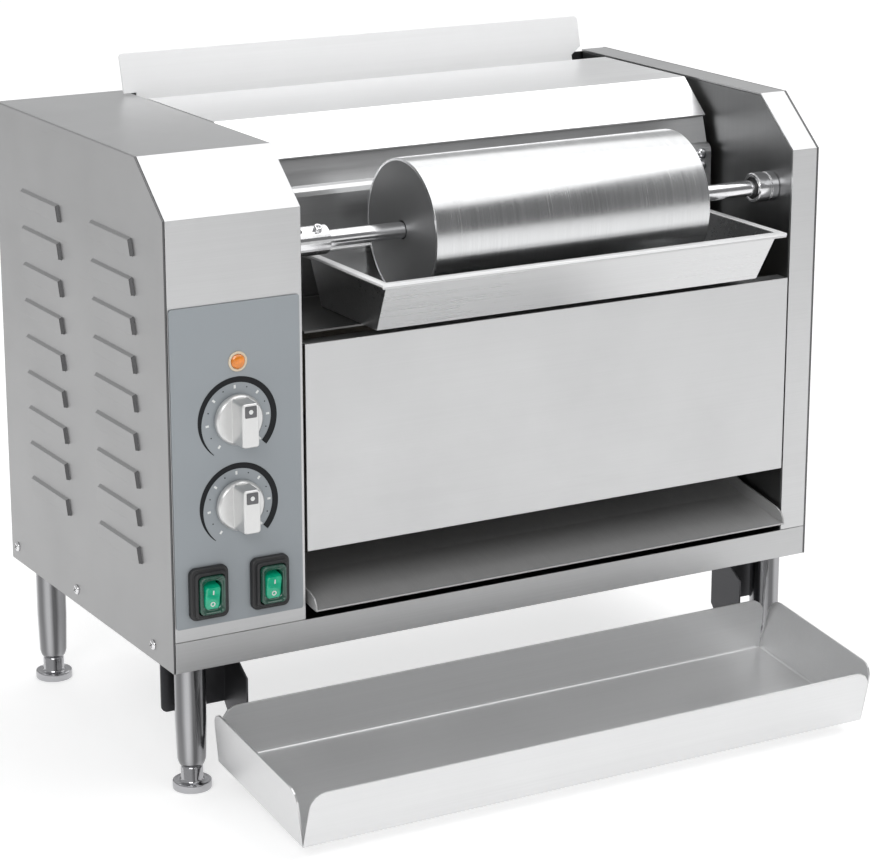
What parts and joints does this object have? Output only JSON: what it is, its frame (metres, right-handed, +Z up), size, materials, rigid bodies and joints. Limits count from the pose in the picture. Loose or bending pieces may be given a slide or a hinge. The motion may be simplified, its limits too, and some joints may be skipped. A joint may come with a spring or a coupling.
{
  "type": "vertical contact bun toaster",
  "caption": "Countertop vertical contact bun toaster with a feed flap, a butter roller over a trough, a control panel, a discharge chute and a catch tray.",
  "frame": {"origin": "centre of the whole machine's footprint, tray included, at the level the feet stand on", "axes": "+X along the machine's width towards the right tower, -Y towards the operator, +Z up"},
  "size_m": [0.5742, 0.4804, 0.5122],
  "materials": {
    "base_pan": "brushed stainless steel",
    "left_side_panel": "brushed stainless steel",
    "right_side_panel": "brushed stainless steel",
    "panel_screw_1": "zinc plated steel",
    "panel_screw_2": "zinc plated steel",
    "panel_screw_3": "zinc plated steel",
    "control_box_cover": "brushed stainless steel",
    "control_overlay": "matt grey printed film",
    "control_box_wall": "brushed stainless steel",
    "right_tower_cover": "brushed stainless steel",
    "right_tower_wall": "brushed stainless steel",
    "rear_panel": "brushed stainless steel",
    "cord_gland": "matt black plastic",
    "hood": "finely brushed bright stainless steel",
    "recess_wall": "brushed stainless steel",
    "front_panel": "brushed stainless steel",
    "discharge_chute": "dark satin steel",
    "bun_flap": "finely brushed bright stainless steel",
    "heated_platen": "satin aluminium",
    "heat_shield": "brushed stainless steel",
    "conveyor_drive_shaft": "satin aluminium",
    "conveyor_idler_shaft": "satin aluminium",
    "drive_bearing_left": "zinc plated steel",
    "drive_bearing_right": "zinc plated steel",
    "idler_bearing_left": "zinc plated steel",
    "idler_bearing_right": "zinc plated steel",
    "conveyor_belt": "coated fabric belt",
    "conveyor_sprocket": "zinc plated steel",
    "motor_sprocket": "zinc plated steel",
    "drive_chain": "dark satin steel",
    "conveyor_gearmotor": "grey enamel",
    "butter_gearmotor": "grey enamel",
    "butter_motor_shaft": "finely brushed bright stainless steel",
    "butter_roller": "finely brushed bright stainless steel",
    "butter_roller_shaft": "finely brushed bright stainless steel",
    "shaft_coupling": "finely brushed bright stainless steel",
    "coupling_screw": "finely brushed bright stainless steel",
    "roller_bushing": "finely brushed bright stainless steel",
    "butter_trough": "brushed stainless steel",
    "pilot_lamp": "translucent amber plastic",
    "heat_knob": "satin pale grey plastic",
    "speed_knob": "satin pale grey plastic",
    "thermostat": "zinc plated steel",
    "speed_control": "matt black plastic",
    "terminal_block": "matt black plastic",
    "power_switch_housing": "matt black plastic",
    "power_rocker": "translucent green plastic",
    "roller_switch_housing": "matt black plastic",
    "roller_rocker": "translucent green plastic",
    "bun_tray": "finely brushed bright stainless steel",
    "tray_bracket_left": "dark satin steel",
    "tray_bracket_right": "dark satin steel",
    "leg_front_left": "polished chrome plate",
    "foot_front_left": "polished chrome plate",
    "leg_front_right": "polished chrome plate",
    "foot_front_right": "polished chrome plate",
    "leg_rear_left": "polished chrome plate",
    "foot_rear_left": "polished chrome plate",
    "leg_rear_right": "polished chrome plate",
    "foot_rear_right": "polished chrome plate"
  },
  "bodies": {
    "cabinet": {"base_pan": "base_pan", "left_side_panel": "left_side_panel", "right_side_panel": "right_side_panel", "panel_screw_1": "panel_screw_1", "panel_screw_2": "panel_screw_2", "panel_screw_3": "panel_screw_3", "control_box_cover": "control_box_cover", "control_overlay": "control_overlay", "control_box_wall": "control_box_wall", "right_tower_cover": "right_tower_cover", "right_tower_wall": "right_tower_wall", "rear_panel": "rear_panel", "cord_gland": "cord_gland", "hood": "hood", "recess_wall": "recess_wall", "discharge_chute": "discharge_chute", "heated_platen": "heated_platen", "heat_shield": "heat_shield", "drive_bearing_left": "drive_bearing_left", "drive_bearing_right": "drive_bearing_right", "idler_bearing_left": "idler_bearing_left", "idler_bearing_right": "idler_bearing_right", "conveyor_belt": "conveyor_belt", "drive_chain": "drive_chain", "conveyor_gearmotor": "conveyor_gearmotor", "butter_gearmotor": "butter_gearmotor", "roller_bushing": "roller_bushing", "butter_trough": "butter_trough", "pilot_lamp": "pilot_lamp", "thermostat": "thermostat", "speed_control": "speed_control", "terminal_block": "terminal_block", "power_switch_housing": "power_switch_housing", "roller_switch_housing": "roller_switch_housing", "tray_bracket_left": "tray_bracket_left", "tray_bracket_right": "tray_bracket_right", "leg_front_left": "leg_front_left", "leg_front_right": "leg_front_right", "leg_rear_left": "leg_rear_left", "leg_rear_right": "leg_rear_right"},
    "butter_roller_line": {"butter_roller": "butter_roller", "butter_roller_shaft": "butter_roller_shaft", "shaft_coupling": "shaft_coupling", "coupling_screw": "coupling_screw", "butter_motor_shaft": "butter_motor_shaft"},
    "conveyor_drive": {"conveyor_drive_shaft": "conveyor_drive_shaft", "conveyor_sprocket": "conveyor_sprocket"},
    "conveyor_idler": {"conveyor_idler_shaft": "conveyor_idler_shaft"},
    "conveyor_motor_output": {"motor_sprocket": "motor_sprocket"},
    "heat_dial": {"heat_knob": "heat_knob"},
    "speed_dial": {"speed_knob": "speed_knob"},
    "power_rocker_body": {"power_rocker": "power_rocker"},
    "roller_rocker_body": {"roller_rocker": "roller_rocker"},
    "foot_front_left_body": {"foot_front_left": "foot_front_left"},
    "foot_front_right_body": {"foot_front_right": "foot_front_right"},
    "foot_rear_left_body": {"foot_rear_left": "foot_rear_left"},
    "foot_rear_right_body": {"foot_rear_right": "foot_rear_right"},
    "bun_tray_body": {"bun_tray": "bun_tray"},
    "front_panel_body": {"front_panel": "front_panel"},
    "bun_flap_body": {"bun_flap": "bun_flap"}
  },
  "joints": [
    {"name": "butter_roller_spin", "type": "hinge", "parent": "cabinet", "child": "butter_roller_line", "pos_m": [0.04415, -0.0608, 0.408], "axis": [1, 0, 0], "continuous": true},
    {"name": "conveyor_drive_spin", "type": "hinge", "parent": "cabinet", "child": "conveyor_drive", "pos_m": [0.04315, 0.14921, 0.236], "axis": [1, 0, 0], "continuous": true},
    {"name": "conveyor_idler_spin", "type": "hinge", "parent": "cabinet", "child": "conveyor_idler", "pos_m": [0.04315, 0.14921, 0.42], "axis": [1, 0, 0], "continuous": true},
    {"name": "conveyor_motor_spin", "type": "hinge", "parent": "cabinet", "child": "conveyor_motor_output", "pos_m": [-0.18485, 0.1112, 0.316], "axis": [1, 0, 0], "continuous": true},
    {"name": "heat_knob_turn", "type": "hinge", "parent": "cabinet", "child": "heat_dial", "pos_m": [-0.22985, -0.09059, 0.29], "axis": [0, 1, 0], "range_deg": [-150, 150]},
    {"name": "speed_knob_turn", "type": "hinge", "parent": "cabinet", "child": "speed_dial", "pos_m": [-0.22985, -0.09059, 0.225], "axis": [0, 1, 0], "range_deg": [-150, 150]},
    {"name": "power_rocker_tilt", "type": "hinge", "parent": "cabinet", "child": "power_rocker_body", "pos_m": [-0.25685, -0.08829, 0.162], "axis": [1, 0, 0], "range_deg": [-20, 0]},
    {"name": "roller_rocker_tilt", "type": "hinge", "parent": "cabinet", "child": "roller_rocker_body", "pos_m": [-0.20685, -0.08829, 0.162], "axis": [1, 0, 0], "range_deg": [-20, 0]},
    {"name": "foot_front_left_adjust", "type": "slide", "parent": "cabinet", "child": "foot_front_left_body", "axis": [0, 0, -1], "range_m": [0, 0.02]},
    {"name": "foot_front_right_adjust", "type": "slide", "parent": "cabinet", "child": "foot_front_right_body", "axis": [0, 0, -1], "range_m": [0, 0.02]},
    {"name": "foot_rear_left_adjust", "type": "slide", "parent": "cabinet", "child": "foot_rear_left_body", "axis": [0, 0, -1], "range_m": [0, 0.02]},
    {"name": "foot_rear_right_adjust", "type": "slide", "parent": "cabinet", "child": "foot_rear_right_body", "axis": [0, 0, -1], "range_m": [0, 0.02]},
    {"name": "bun_tray_slide", "type": "slide", "parent": "cabinet", "child": "bun_tray_body", "axis": [0, -1, 0], "range_m": [0, 0.12]},
    {"name": "front_panel_pull", "type": "slide", "parent": "cabinet", "child": "front_panel_body", "axis": [0, -1, 0], "range_m": [0, 0.05]},
    {"name": "bun_flap_lift", "type": "slide", "parent": "cabinet", "child": "bun_flap_body", "axis": [0, 0, 1], "range_m": [0, 0.06]}
  ],
  "couplings": [
    {"joint": "conveyor_idler_spin", "follows": "conveyor_drive_spin", "ratio": 1},
    {"joint": "conveyor_motor_spin", "follows": "conveyor_drive_spin", "ratio": 1}
  ]
}
